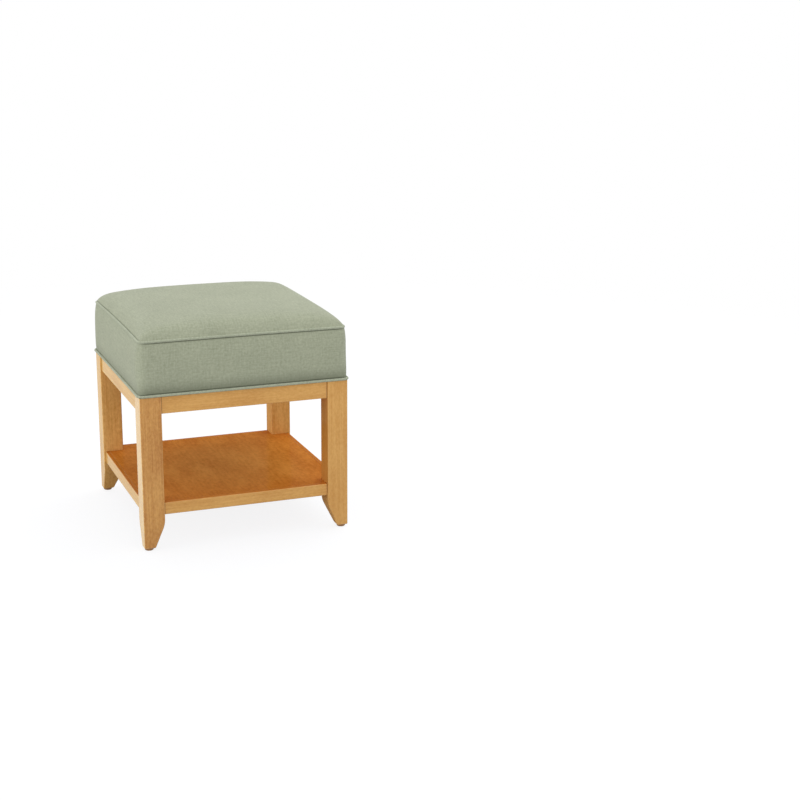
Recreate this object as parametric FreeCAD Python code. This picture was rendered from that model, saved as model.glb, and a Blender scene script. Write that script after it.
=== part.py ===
# Cube ottoman: a boxed and welted seat on a four-legged hardwood base with a low shelf.
# Millimetres. +Z is up, +X is to the right and -Y is the front.
# The origin is on the floor, under the centre of the base.
import FreeCAD, Part
import math
import os

Vector = FreeCAD.Vector

# Base frame
BASE_WIDTH = 457.0          # across the legs, left to right
BASE_DEPTH = 457.0          # across the legs, front to back
FRAME_HEIGHT = 336.0        # floor to the top of legs and aprons
LEG_SIDE = 46.0             # square section of a leg
LEG_EASE = 2.0              # rounding along a leg's edges
FOOT_SIDE = 24.0            # square section of a leg at its lower end
FOOT_CHAMFER = 1.5          # cut round a leg's lower end
TAPER_HEIGHT = 68.0         # floor to where the inner faces begin to taper
TAPER_RADIUS = 55.0         # curve that leads into the taper

# Aprons
APRON_HEIGHT = 37.0
APRON_THICKNESS = 20.0
APRON_SETBACK = 3.0         # apron face behind leg face
APRON_EASE = 1.5            # rounding along an apron's lower edges

# Dowels of the aprons and the shelf
DOWEL_DIAMETER = 8.0
DOWEL_IN_LEG = 18.0
DOWEL_IN_RAIL = 24.0
DOWEL_CHAMFER = 0.8
DOWEL_END_GAP = 1.0         # room for glue behind each end
APRON_DOWEL_EDGE = 10.0     # apron edge to dowel centre
SHELF_DOWEL_EDGE = 9.0      # notch end to dowel centre

# Corner blocks
BLOCK_HEIGHT = 30.0
BLOCK_REACH = 54.0          # leg to block end, along an apron
BLOCK_SCREW_FROM_LEG = 36.0
BLOCK_SCREW_WOOD = 11.0     # block left under a screw head
SEAT_SCREW_FROM_LEG = 8.0   # leg face to seat screw, along both aprons
SEAT_SCREW_WOOD = 20.0

# Wood screws
SCREW_DIAMETER = 4.0
SCREW_HEAD_DIAMETER = 8.0
SCREW_HEAD_HEIGHT = 2.6
SCREW_POINT = 4.0           # length of the tapered point
SCREW_TIP_DIAMETER = 0.8
SCREW_BITE = 13.0           # length held in the apron
SEAT_SCREW_BITE = 11.0      # length held in the seat deck
COUNTERBORE_DIAMETER = 10.0

# Shelf
SHELF_TOP = 104.0           # floor to shelf top
SHELF_THICKNESS = 27.0
SHELF_SETBACK = 4.0         # shelf edge behind leg face
LIPPING_WIDTH = 9.0         # solid edge strip round the veneered panel
LIPPING_EASE = 2.0
PANEL_BEVEL = 0.7           # fine bevel round the panel's top

# Glides under the feet
GLIDE_DIAMETER = 19.0
GLIDE_HEIGHT = 5.5
GLIDE_ROUND = 2.5
NAIL_DIAMETER = 2.6
NAIL_HEAD_DIAMETER = 9.0
NAIL_HEAD_THICKNESS = 1.4
NAIL_HEAD_COVER = 1.6       # plastic under the nail head
NAIL_IN_LEG = 17.0
NAIL_POINT = 4.0
NAIL_TIP_DIAMETER = 0.6

# Seat carcass and padding
DUST_COVER_THICKNESS = 0.8
DUST_COVER_INSET = 8.0      # dust cover edge inside the deck edge
DECK_THICKNESS = 15.0
FOAM_THICKNESS = 100.0
CROWN_HEIGHT = 35.0         # top seam to the middle of the seat
CROWN_FLATNESS = 4.8        # higher keeps the crown flat nearer to its edge
CROWN_STEEPNESS = 0.46      # lower makes the crown rise more steeply from its seam
CROWN_LEVELS = 8

# Seat cover
COVER_THICKNESS = 2.0       # fabric with its backing
COVER_HEM = 28.0            # turned under the deck
SEAT_OVERHANG = 1.0         # cover beyond the legs, at the deck
BELLY_OVERHANG = 2.5        # cover beyond the legs, where it swells most
BELLY_RISE = 58.0           # deck top to where the cover swells most
TOP_INSET = 5.0             # top seam inside the legs
SIDE_DRAW_IN = 3.0          # how far a side of the top seam pulls in between its corners
FOOT_DRAW_IN = 0.6          # the same at the deck
SEAT_CORNER_RADIUS = 11.0
WELT_DIAMETER = 6.0
WELT_BITE = 1.5             # how deep a welt is sewn into the cover

# Places worked out from the sizes above
HALF_WIDTH = BASE_WIDTH / 2
HALF_DEPTH = BASE_DEPTH / 2
LEG_INNER_X = HALF_WIDTH - LEG_SIDE
LEG_INNER_Y = HALF_DEPTH - LEG_SIDE
APRON_BOTTOM = FRAME_HEIGHT - APRON_HEIGHT
APRON_INNER_X = HALF_WIDTH - APRON_SETBACK - APRON_THICKNESS
APRON_INNER_Y = HALF_DEPTH - APRON_SETBACK - APRON_THICKNESS
SHELF_BOTTOM = SHELF_TOP - SHELF_THICKNESS
SHELF_HALF_X = HALF_WIDTH - SHELF_SETBACK
SHELF_HALF_Y = HALF_DEPTH - SHELF_SETBACK
PANEL_HALF_X = SHELF_HALF_X - LIPPING_WIDTH
PANEL_HALF_Y = SHELF_HALF_Y - LIPPING_WIDTH
BLOCK_BOTTOM = FRAME_HEIGHT - BLOCK_HEIGHT
SEAT_BOTTOM = FRAME_HEIGHT + DUST_COVER_THICKNESS
DECK_BOTTOM = SEAT_BOTTOM + COVER_THICKNESS
DECK_TOP = DECK_BOTTOM + DECK_THICKNESS
SEAM_HEIGHT = DECK_TOP + FOAM_THICKNESS
WELT_RADIUS = WELT_DIAMETER / 2
WELT_STAND = WELT_RADIUS - WELT_BITE

LEFT = Vector(-1, 0, 0)
FRONT = Vector(0, -1, 0)
UP = Vector(0, 0, 1)
CORNERS = [(end, side) for end in ("front", "back") for side in ("left", "right")]


def block(low, high):
    """A box between two opposite corners."""
    size = Vector(*high) - Vector(*low)
    return Part.makeBox(size.x, size.y, size.z, Vector(*low))


def rod(diameter, start, direction, length):
    return Part.makeCylinder(diameter / 2, length, start, direction)


def to_right(shape):
    return shape.mirror(Vector(), Vector(1, 0, 0))


def to_back(shape):
    return shape.mirror(Vector(), Vector(0, 1, 0))


def at_corner(shape, end, side):
    """Takes a shape made at the front left corner to any corner."""
    if side == "right":
        shape = to_right(shape)
    if end == "back":
        shape = to_back(shape)
    return shape


def at_all_corners(shapes):
    """One group with the front left corner's shapes repeated at every corner."""
    return Part.makeCompound([at_corner(shape, *corner) for corner in CORNERS for shape in shapes])


# Dowels and screws, at the front left corner

def dowel(start, direction):
    pin = rod(DOWEL_DIAMETER, start, direction, DOWEL_IN_LEG + DOWEL_IN_RAIL)
    rims = [edge for edge in pin.Edges if isinstance(edge.Curve, Part.Circle)]
    return pin.makeChamfer(DOWEL_CHAMFER, rims)


def dowel_bore(start, direction):
    length = DOWEL_IN_LEG + DOWEL_IN_RAIL + 2 * DOWEL_END_GAP
    return rod(DOWEL_DIAMETER, start - direction * DOWEL_END_GAP, direction, length)


def apron_dowel_places():
    """Start and direction of the dowels that join the front and left aprons to the leg."""
    middle_x = HALF_WIDTH - APRON_SETBACK - APRON_THICKNESS / 2
    middle_y = HALF_DEPTH - APRON_SETBACK - APRON_THICKNESS / 2
    places = []
    for height in (APRON_BOTTOM + APRON_DOWEL_EDGE, FRAME_HEIGHT - APRON_DOWEL_EDGE):
        places.append((Vector(-LEG_INNER_X - DOWEL_IN_LEG, -middle_y, height), -LEFT))
        places.append((Vector(-middle_x, -LEG_INNER_Y - DOWEL_IN_LEG, height), -FRONT))
    return places


def shelf_dowel_places():
    """Start and direction of the dowels that join the shelf panel to the leg."""
    height = SHELF_TOP - SHELF_THICKNESS / 2
    start = -LEG_INNER_X - DOWEL_IN_LEG
    ways = (PANEL_HALF_Y - SHELF_DOWEL_EDGE, LEG_INNER_Y + SHELF_DOWEL_EDGE)
    return [(Vector(start, -way, height), -LEFT) for way in ways]


def screw(head_seat, direction, grip):
    """A pan-head wood screw whose head rests at head_seat and whose shank runs along direction."""
    head = rod(SCREW_HEAD_DIAMETER, head_seat - direction * SCREW_HEAD_HEIGHT, direction, SCREW_HEAD_HEIGHT)
    circles = [edge for edge in head.Edges if isinstance(edge.Curve, Part.Circle)]
    rim = min(circles, key=lambda edge: edge.CenterOfMass.dot(direction))
    head = head.makeFillet(SCREW_HEAD_HEIGHT / 2, [rim])
    shank = rod(SCREW_DIAMETER, head_seat, direction, grip - SCREW_POINT)
    point_base = head_seat + direction * (grip - SCREW_POINT)
    point = Part.makeCone(SCREW_DIAMETER / 2, SCREW_TIP_DIAMETER / 2, SCREW_POINT, point_base, direction)
    return head.fuse([shank, point]).removeSplitter()


def front_screw_seat():
    across = LEG_INNER_X - BLOCK_SCREW_FROM_LEG
    return Vector(-across, -APRON_INNER_Y + BLOCK_SCREW_WOOD, FRAME_HEIGHT - BLOCK_HEIGHT / 2)


def side_screw_seat():
    along = LEG_INNER_Y - BLOCK_SCREW_FROM_LEG
    return Vector(-APRON_INNER_X + BLOCK_SCREW_WOOD, -along, FRAME_HEIGHT - BLOCK_HEIGHT / 2)


def seat_screw_seat():
    return Vector(-LEG_INNER_X + SEAT_SCREW_FROM_LEG, -LEG_INNER_Y + SEAT_SCREW_FROM_LEG,
                  FRAME_HEIGHT - SEAT_SCREW_WOOD)


def block_screw_pair():
    grip = BLOCK_SCREW_WOOD + SCREW_BITE
    return [screw(front_screw_seat(), FRONT, grip), screw(side_screw_seat(), LEFT, grip)]


def seat_screw():
    grip = SEAT_SCREW_WOOD + DUST_COVER_THICKNESS + COVER_THICKNESS + SEAT_SCREW_BITE
    return screw(seat_screw_seat(), UP, grip)


# Glides, at the front left foot

def foot_centre(height):
    return Vector(-HALF_WIDTH + FOOT_SIDE / 2, -HALF_DEPTH + FOOT_SIDE / 2, height)


def glide_nail():
    head_top = NAIL_HEAD_COVER + NAIL_HEAD_THICKNESS
    head = rod(NAIL_HEAD_DIAMETER, foot_centre(NAIL_HEAD_COVER), UP, NAIL_HEAD_THICKNESS)
    point_height = GLIDE_HEIGHT + NAIL_IN_LEG - NAIL_POINT
    shank = rod(NAIL_DIAMETER, foot_centre(head_top), UP, point_height - head_top)
    point = Part.makeCone(NAIL_DIAMETER / 2, NAIL_TIP_DIAMETER / 2, NAIL_POINT, foot_centre(point_height), UP)
    return head.fuse([shank, point]).removeSplitter()


def glide():
    disc = rod(GLIDE_DIAMETER, foot_centre(0), UP, GLIDE_HEIGHT)
    rim = [edge for edge in disc.Edges if edge.CenterOfMass.z < GLIDE_HEIGHT / 4]
    return disc.makeFillet(GLIDE_ROUND, rim).cut(glide_nail())


# Wooden base

def leg_profile(across):
    """Face of a leg seen square on: straight outside, tapered inside. across turns it to X or Y."""
    centre = (LEG_SIDE - TAPER_RADIUS, TAPER_HEIGHT)
    fall = (FOOT_SIDE - centre[0], GLIDE_HEIGHT - centre[1])
    turn = math.atan2(fall[1], fall[0]) + math.acos(TAPER_RADIUS / math.hypot(*fall))

    def on_curve(angle):
        return (centre[0] + TAPER_RADIUS * math.cos(angle), centre[1] + TAPER_RADIUS * math.sin(angle))

    def place(point):
        return across * point[0] + UP * point[1]

    outside_foot = place((0, GLIDE_HEIGHT))
    inside_foot = place((FOOT_SIDE, GLIDE_HEIGHT))
    taper_top = place(on_curve(turn))
    curve_top = place((LEG_SIDE, TAPER_HEIGHT))
    inside_top = place((LEG_SIDE, FRAME_HEIGHT))
    outside_top = place((0, FRAME_HEIGHT))
    edges = [
        Part.makeLine(outside_foot, inside_foot),
        Part.makeLine(inside_foot, taper_top),
        Part.Arc(taper_top, place(on_curve(turn / 2)), curve_top).toShape(),
        Part.makeLine(curve_top, inside_top),
        Part.makeLine(inside_top, outside_top),
        Part.makeLine(outside_top, outside_foot),
    ]
    return Part.Face(Part.Wire(edges))


def height_span(edge):
    return edge.BoundBox.ZMax - edge.BoundBox.ZMin


def leg():
    """The front left leg, tapered on both inner faces, with its dowel bores and nail hole."""
    seen_from_front = leg_profile(-LEFT).extrude(-FRONT * LEG_SIDE)
    seen_from_side = leg_profile(-FRONT).extrude(-LEFT * LEG_SIDE)
    post = seen_from_front.common(seen_from_side)
    long_edges = [edge for edge in post.Edges if height_span(edge) > LEG_EASE]
    post = post.makeFillet(LEG_EASE, long_edges)
    foot_edges = [edge for edge in post.Edges if edge.BoundBox.ZMax < GLIDE_HEIGHT + FOOT_CHAMFER / 2]
    post = post.makeChamfer(FOOT_CHAMFER, foot_edges)
    post.translate(Vector(-HALF_WIDTH, -HALF_DEPTH, 0))
    bores = [dowel_bore(*place) for place in apron_dowel_places() + shelf_dowel_places()]
    return post.cut(bores + [glide_nail()])


def ease_low_edges(rail, along, radius):
    low = [edge for edge in rail.Edges if edge.BoundBox.ZMax < rail.BoundBox.ZMin + radius / 2]
    low = [edge for edge in low if abs(edge.tangentAt(edge.FirstParameter).dot(along)) > 0.5]
    return rail.makeFillet(radius, low)


def front_apron():
    rail = block((-LEG_INNER_X, -APRON_INNER_Y - APRON_THICKNESS, APRON_BOTTOM),
                 (LEG_INNER_X, -APRON_INNER_Y, FRAME_HEIGHT))
    rail = ease_low_edges(rail, LEFT, APRON_EASE)
    cuts = [dowel_bore(*place) for place in apron_dowel_places()] + block_screw_pair()
    return rail.cut(cuts + [to_right(cut) for cut in cuts])


def left_apron():
    rail = block((-APRON_INNER_X - APRON_THICKNESS, -LEG_INNER_Y, APRON_BOTTOM),
                 (-APRON_INNER_X, LEG_INNER_Y, FRAME_HEIGHT))
    rail = ease_low_edges(rail, FRONT, APRON_EASE)
    cuts = [dowel_bore(*place) for place in apron_dowel_places()] + block_screw_pair()
    return rail.cut(cuts + [to_back(cut) for cut in cuts])


def corner_block():
    """Brace between the front and left aprons, notched round the leg and counterbored for its screws."""
    outline = [
        (-LEG_INNER_X, -APRON_INNER_Y),
        (-LEG_INNER_X + BLOCK_REACH, -APRON_INNER_Y),
        (-APRON_INNER_X, -LEG_INNER_Y + BLOCK_REACH),
        (-APRON_INNER_X, -LEG_INNER_Y),
        (-LEG_INNER_X, -LEG_INNER_Y),
    ]
    corners = [Vector(x, y, BLOCK_BOTTOM) for x, y in outline]
    brace = Part.Face(Part.makePolygon(corners + corners[:1])).extrude(UP * BLOCK_HEIGHT)
    pockets = [rod(COUNTERBORE_DIAMETER, front_screw_seat(), -FRONT, BLOCK_REACH),
               rod(COUNTERBORE_DIAMETER, side_screw_seat(), -LEFT, BLOCK_REACH),
               rod(COUNTERBORE_DIAMETER, seat_screw_seat(), -UP, BLOCK_HEIGHT)]
    return brace.cut(pockets + block_screw_pair() + [seat_screw()])


# Shelf

def shelf_panel():
    """Veneered board, notched round the four legs, with a fine bevel round its top."""
    board = block((-PANEL_HALF_X, -PANEL_HALF_Y, SHELF_BOTTOM), (PANEL_HALF_X, PANEL_HALF_Y, SHELF_TOP))
    notch = block((-PANEL_HALF_X, -PANEL_HALF_Y, SHELF_BOTTOM), (-LEG_INNER_X, -LEG_INNER_Y, SHELF_TOP))
    board = board.cut([at_corner(notch, *corner) for corner in CORNERS])
    rim = [edge for edge in board.Edges if edge.BoundBox.ZMin > SHELF_TOP - PANEL_BEVEL / 2]
    board = board.makeChamfer(PANEL_BEVEL, rim)
    bores = [dowel_bore(*place) for place in shelf_dowel_places()]
    return board.cut([at_corner(bore, *corner) for corner in CORNERS for bore in bores])


def ease_outer_edges(strip, outward, along):
    """Rounds the two long edges on a strip's outer face."""
    face = max(strip.Faces, key=lambda one: one.CenterOfMass.dot(outward))
    long_edges = [edge for edge in face.Edges if abs(edge.tangentAt(edge.FirstParameter).dot(along)) > 0.5]
    return strip.makeFillet(LIPPING_EASE, long_edges)


def front_lipping():
    strip = block((-LEG_INNER_X, -SHELF_HALF_Y, SHELF_BOTTOM), (LEG_INNER_X, -PANEL_HALF_Y, SHELF_TOP))
    return ease_outer_edges(strip, FRONT, LEFT)


def left_lipping():
    strip = block((-SHELF_HALF_X, -LEG_INNER_Y, SHELF_BOTTOM), (-PANEL_HALF_X, LEG_INNER_Y, SHELF_TOP))
    return ease_outer_edges(strip, LEFT, FRONT)


# Seat forms

def seat_outline(half_x, half_y, radius, draw_in, height):
    """A square whose sides pull in between round corners: eight arcs that meet without a kink."""

    def tangent_turn(half):
        """Angle by which a corner arc runs past its quarter, on the side of the given half length."""
        return math.asin(2 * draw_in * (half - radius) / (draw_in ** 2 + (half - radius) ** 2))

    past_x = tangent_turn(half_y)
    past_y = tangent_turn(half_x)

    def corner_point(sign_x, sign_y, angle):
        return Vector(sign_x * (half_x - radius + radius * math.cos(angle)),
                      sign_y * (half_y - radius + radius * math.sin(angle)), height)

    start, middle, end = -past_x, math.pi / 4, math.pi / 2 + past_y
    quadrants = [(1, 1, False), (-1, 1, True), (-1, -1, False), (1, -1, True)]
    middles = [Vector(0, half_y - draw_in, height), Vector(-half_x + draw_in, 0, height),
               Vector(0, -half_y + draw_in, height), Vector(half_x - draw_in, 0, height)]
    arcs = []
    for index, (sign_x, sign_y, swapped) in enumerate(quadrants):
        turns = (end, middle, start) if swapped else (start, middle, end)
        arcs.append(Part.Arc(*[corner_point(sign_x, sign_y, turn) for turn in turns]))
        next_x, next_y, next_swapped = quadrants[(index + 1) % 4]
        leave = arcs[-1].EndPoint
        arrive = corner_point(next_x, next_y, end if next_swapped else start)
        arcs.append(Part.Arc(leave, middles[index], arrive))
    return Part.Wire([arc.toShape() for arc in arcs])


def boxing_outline(beyond_legs, draw_in, height, inset):
    return seat_outline(HALF_WIDTH + beyond_legs - inset, HALF_DEPTH + beyond_legs - inset,
                        SEAT_CORNER_RADIUS - inset, draw_in, height)


def deck_outline(height, inset):
    return boxing_outline(SEAT_OVERHANG, FOOT_DRAW_IN, height, inset)


def seam_outline(height, inset):
    return boxing_outline(-TOP_INSET, SIDE_DRAW_IN, height, inset)


def deck_form(bottom, top, inset):
    return Part.Face(deck_outline(bottom, inset)).extrude(UP * (top - bottom))


def foam_form(inset):
    """The seat between deck and top seam, with swelling sides."""
    belly_draw_in = (FOOT_DRAW_IN + SIDE_DRAW_IN) / 2
    outlines = [deck_outline(DECK_TOP, inset),
                boxing_outline(BELLY_OVERHANG, belly_draw_in, DECK_TOP + BELLY_RISE, inset),
                seam_outline(SEAM_HEIGHT, inset)]
    return Part.makeLoft(outlines, True)


def crown_form(inset):
    """The domed top: rounded squares that shrink as they rise from the top seam."""
    half_x = HALF_WIDTH - TOP_INSET - inset
    half_y = HALF_DEPTH - TOP_INSET - inset
    outlines = []
    for step in range(CROWN_LEVELS):
        side_reach = math.cos(math.pi / 2 * step / CROWN_LEVELS)
        filled = 1 - side_reach ** CROWN_FLATNESS
        corner_reach = (1 - math.sqrt(filled)) ** (1 / CROWN_FLATNESS)
        rounding = min(half_x, half_y) * (side_reach - corner_reach) / (1 - math.sqrt(0.5))
        radius = max(rounding, SEAT_CORNER_RADIUS - inset)
        height = SEAM_HEIGHT + (CROWN_HEIGHT - inset) * filled ** CROWN_STEEPNESS
        outlines.append(seat_outline(half_x * side_reach, half_y * side_reach, radius,
                                     SIDE_DRAW_IN * side_reach, height))
    return Part.makeLoft(outlines, True)


def welt(path):
    """A round cord laid along a closed outline of arcs."""
    lengths = []
    for arc in path.Edges:
        ring = Part.makeCircle(WELT_RADIUS, arc.valueAt(arc.FirstParameter), arc.tangentAt(arc.FirstParameter))
        turn = math.degrees(arc.LastParameter - arc.FirstParameter)
        lengths.append(Part.Face(Part.Wire(ring)).revolve(arc.Curve.Center, arc.Curve.Axis, turn))
    return lengths[0].fuse(lengths[1:]).removeSplitter()


def top_welt():
    return welt(seam_outline(SEAM_HEIGHT, -WELT_STAND))


def bottom_welt():
    return welt(deck_outline(SEAT_BOTTOM + WELT_RADIUS, -WELT_STAND))


# Seat pieces

def dust_cover():
    sheet = deck_form(FRAME_HEIGHT, SEAT_BOTTOM, COVER_THICKNESS + DUST_COVER_INSET)
    return sheet.cut([at_corner(seat_screw(), *corner) for corner in CORNERS])


def seat_deck():
    board = deck_form(DECK_BOTTOM, DECK_TOP, COVER_THICKNESS)
    return board.cut([at_corner(seat_screw(), *corner) for corner in CORNERS])


def boxing(welts):
    """The cover's side walls, turned under the deck, as one shell."""
    outside = deck_form(SEAT_BOTTOM, DECK_TOP, 0).fuse(foam_form(0))
    inside = deck_form(DECK_BOTTOM, DECK_TOP, COVER_THICKNESS).fuse(foam_form(COVER_THICKNESS))
    hem_x = HALF_WIDTH + SEAT_OVERHANG - COVER_THICKNESS - COVER_HEM
    hem_y = HALF_DEPTH + SEAT_OVERHANG - COVER_THICKNESS - COVER_HEM
    opening = block((-hem_x, -hem_y, SEAT_BOTTOM), (hem_x, hem_y, DECK_BOTTOM))
    return outside.cut([inside, opening] + welts)


def quarter(side):
    """The space in front of, behind or beside the two diagonals of the seat."""
    reach_x = 2 * HALF_WIDTH
    reach_y = 2 * HALF_DEPTH
    ends = {"front": ((-reach_x, -reach_y), (reach_x, -reach_y)),
            "right": ((reach_x, -reach_y), (reach_x, reach_y)),
            "back": ((reach_x, reach_y), (-reach_x, reach_y)),
            "left": ((-reach_x, reach_y), (-reach_x, -reach_y))}
    points = [Vector(0, 0, FRAME_HEIGHT)] + [Vector(x, y, FRAME_HEIGHT) for x, y in ends[side]]
    floor = Part.Face(Part.makePolygon(points + points[:1]))
    return floor.extrude(UP * (SEAM_HEIGHT + CROWN_HEIGHT))


def one_solid(shape):
    """The single solid in a cut shape."""
    solids = shape.Solids
    if len(solids) != 1:
        raise RuntimeError("a piece came out as %d solids" % len(solids))
    return solids[0]


def build():
    pieces = {}
    for end, side in CORNERS:
        pieces["leg_%s_%s" % (end, side)] = at_corner(leg(), end, side)
        pieces["corner_block_%s_%s" % (end, side)] = at_corner(corner_block(), end, side)
        pieces["glide_%s_%s" % (end, side)] = at_corner(glide(), end, side)
    pieces["apron_front"] = front_apron()
    pieces["apron_back"] = to_back(front_apron())
    pieces["apron_left"] = left_apron()
    pieces["apron_right"] = to_right(left_apron())
    pieces["shelf_panel"] = shelf_panel()
    pieces["shelf_lipping_front"] = front_lipping()
    pieces["shelf_lipping_back"] = to_back(front_lipping())
    pieces["shelf_lipping_left"] = left_lipping()
    pieces["shelf_lipping_right"] = to_right(left_lipping())
    welts = [top_welt(), bottom_welt()]
    pieces["top_welt"], pieces["bottom_welt"] = welts
    pieces["dust_cover"] = dust_cover()
    pieces["seat_deck"] = seat_deck()
    pieces["foam_core"] = foam_form(COVER_THICKNESS).cut(welts)
    pieces["crown_pad"] = crown_form(COVER_THICKNESS).cut(welts)
    pieces["cover_top"] = crown_form(0).cut([crown_form(COVER_THICKNESS)] + welts)
    sides = boxing(welts)
    for side in ("front", "back", "left", "right"):
        pieces["boxing_%s" % side] = sides.common(quarter(side))
    pieces = {name: one_solid(shape) for name, shape in pieces.items()}
    pieces["apron_dowels"] = at_all_corners([dowel(*place) for place in apron_dowel_places()])
    pieces["shelf_dowels"] = at_all_corners([dowel(*place) for place in shelf_dowel_places()])
    pieces["corner_block_screws"] = at_all_corners(block_screw_pair())
    pieces["seat_screws"] = at_all_corners([seat_screw()])
    pieces["glide_nails"] = at_all_corners([glide_nail()])
    return pieces


os.makedirs("parts", exist_ok=True)
for name, shape in build().items():
    shape.exportStep("parts/%s.step" % name)
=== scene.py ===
"""Finishes a welted box-seat ottoman: its sewn seat, its honey wood, its fittings and the studio round it."""

import math

import bpy
import numpy as np
from bpy.props import FloatProperty, FloatVectorProperty, PointerProperty
from mathutils import Matrix, Vector


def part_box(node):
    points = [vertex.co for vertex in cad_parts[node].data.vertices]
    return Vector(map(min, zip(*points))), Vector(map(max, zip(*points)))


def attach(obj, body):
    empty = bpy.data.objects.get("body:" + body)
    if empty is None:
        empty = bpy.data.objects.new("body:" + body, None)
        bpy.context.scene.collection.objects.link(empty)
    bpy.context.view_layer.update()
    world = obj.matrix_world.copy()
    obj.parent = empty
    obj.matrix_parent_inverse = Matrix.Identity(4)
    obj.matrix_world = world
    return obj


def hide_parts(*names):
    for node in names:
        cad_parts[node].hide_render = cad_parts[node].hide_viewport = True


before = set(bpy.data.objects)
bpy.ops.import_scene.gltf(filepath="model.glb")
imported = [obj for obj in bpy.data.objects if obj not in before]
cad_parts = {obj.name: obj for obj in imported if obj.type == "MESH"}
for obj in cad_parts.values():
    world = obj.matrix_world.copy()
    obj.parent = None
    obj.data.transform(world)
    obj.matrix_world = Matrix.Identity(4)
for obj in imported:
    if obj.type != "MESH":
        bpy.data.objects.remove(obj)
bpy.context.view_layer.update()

bl_info = {
    "name": "Welted Ottoman",
    "version": (1, 0, 0),
    "blender": (4, 5, 0),
    "location": "View3D > Sidebar > Ottoman",
    "description": "Sews the seat, finishes the wood and fittings, and sets the studio for a welted ottoman",
    "category": "Object",
}

# Places and sizes that come from the frame

SIDES = ("front", "back", "left", "right")
CORNERS = tuple(end + "_" + side for end in ("front", "back") for side in ("left", "right"))
TOP_WELT_LOW, TOP_WELT_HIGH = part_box("top_welt")
BOTTOM_WELT_LOW, BOTTOM_WELT_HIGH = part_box("bottom_welt")
WELT_DIAMETER = TOP_WELT_HIGH.z - TOP_WELT_LOW.z
TOP_SEAM_HEIGHT = TOP_WELT_HIGH.z - WELT_DIAMETER / 2
BOTTOM_SEAM_HEIGHT = BOTTOM_WELT_LOW.z + WELT_DIAMETER / 2
SEAT_BOTTOM = BOTTOM_WELT_LOW.z
CROWN_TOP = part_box("cover_top")[1].z
BELLY_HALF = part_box("boxing_right")[1].x
DUST_LOW, DUST_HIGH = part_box("dust_cover")
FRAME_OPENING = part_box("apron_left")[1].x
SHELF_LOW, SHELF_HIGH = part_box("shelf_panel")
LEG_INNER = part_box("leg_front_right")[0].x

# How finely the seat is meshed, how its cloth swells on the filling, and how its cords are laid

PANEL_STEPS = 60
WALL_STEPS = 20
EDGE_CROWDING = 0.72
CORNER_POWER = 12
WALL_ROUNDING = 0.75
SWELL_FRAMES = 20
SWELL_CLOTH = {"quality": 6, "mass": 0.35, "tension_stiffness": 25.0, "compression_stiffness": 25.0,
               "shear_stiffness": 8.0, "bending_stiffness": 10.0, "air_damping": 2.0,
               "vertex_group_mass": "sewn", "use_pressure": True}
SMOOTH_ROUNDS = 40
WELT_SIDES = 12
CORD_SPACING = 0.003
CORD_UNEVENNESS = 0.0005
BIAS = (0.0, 0.0, math.pi / 4)
DUST_STEPS = 44

# Painted shade along the seams under the cords: how far in it starts along the front and back and along the
# sides, its reach and colour; then how far the small pulls reach

TOP_SEAM_SHADE_STARTS = (0.0042, 0.0006)
WALL_SEAM_SHADE_STARTS = (0.0, 0.0025)
SEAM_SHADE_REACH = (0.0034, 0.0054)
SEAM_SHADE_COLOUR = (0.10, 0.11, 0.075, 1.0)
PULL_REACH = 0.016

# The walls' lowest strip rolls in to the lower cord, and painted shade darkens its cloth there: its reach and
# fade, its easing round the corners, its depth on the front and back and on the sides, and its colour

FOOT_SHADE_REACH = 0.032
FOOT_SHADE_FADE = 1.3
CORNER_EASE = 0.05
FOOT_SHADE_DEPTHS = (0.78, 0.40)
FOOT_SHADE_COLOUR = (0.15, 0.165, 0.11, 1.0)

# Grain of the wood: its way along a piece, its growth rings and how strongly it is figured

UPRIGHT, SIDEWAYS, DEEP = (0.0, 0.0, 0.0), (0.0, math.pi / 2, 0.0), (math.pi / 2, 0.0, 0.0)
PITH = (0.31, -0.47, 0.0)
RING_WIDTH = 0.0062
PLAIN_FIGURE = {"Streaks": 0.7, "Mottling": 0.7, "Fineness": 1.0}
SHELF_FIGURE = {"Streaks": 0.2, "Mottling": 1.5, "Fineness": 0.7}

# Each leg has a look of its own: its tone on the front and back and its tones on the outer and the
# inner side, which are painted light and shade, then its gloss and the strength of its figure

LEG_LOOKS = {"front_left": (0.87, 1.14, 0.84, 0.9, 1.35), "front_right": (1.02, 1.02, 0.78, 0.55, 0.68),
              "back_left": (1.11, 1.05, 0.84, 0.6, 1.0), "back_right": (1.02, 1.02, 1.06, 0.55, 1.0)}
RAIL_LOOK = (1.0, 1.04, 0.84, 0.55, 0.75)

# Lacquer and painted light on the wood: painted sheen on outer sides, painted shade at the shelf's rim, pale
# rubbed edges that also paint highlights, painted shade in joints

PLAIN = (1.0, 1.0, 1.0)
PAINTED_SIDE_SHEEN = (0.99, 1.10, 1.14)
SHELF_RIM_SHADE = 0.80
WEAR_AND_HIGHLIGHT_WIDTH = 0.0022
PALE_EDGE = (0.88, 0.66, 0.36, 1.0)
INNER_COAT = 0.06
SHELF_COATS = (0.04, 0.04)
JOINT_WIDTH = 0.0024
JOINT_SHADE = 0.6
JOINT_SHADE_COLOUR = (0.10, 0.035, 0.008, 1.0)

# Fittings and dust cloth

PLY_PAIR = 0.0033
SCUFF_HEIGHT = 0.0025
DOT_PITCH = 0.0024

# Lamps and floor

LAMP_AIM = (0.0, 0.0, 0.3)
FLOOR_SIDES = 96
FLOOR_FADE = (0.35, 0.95)
FLOOR_GLOW = 0.86


# Settings that a user may change

def number(name, description, default, **more):
    """A number, plain or with a unit, subtype or limits."""
    return FloatProperty(name=name, description=description, default=default, **more)


def length(name, description, default):
    return number(name, description, default, unit="LENGTH")


def share(name, description, default):
    return number(name, description, default, min=0.0, max=1.0, subtype="FACTOR")


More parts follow.
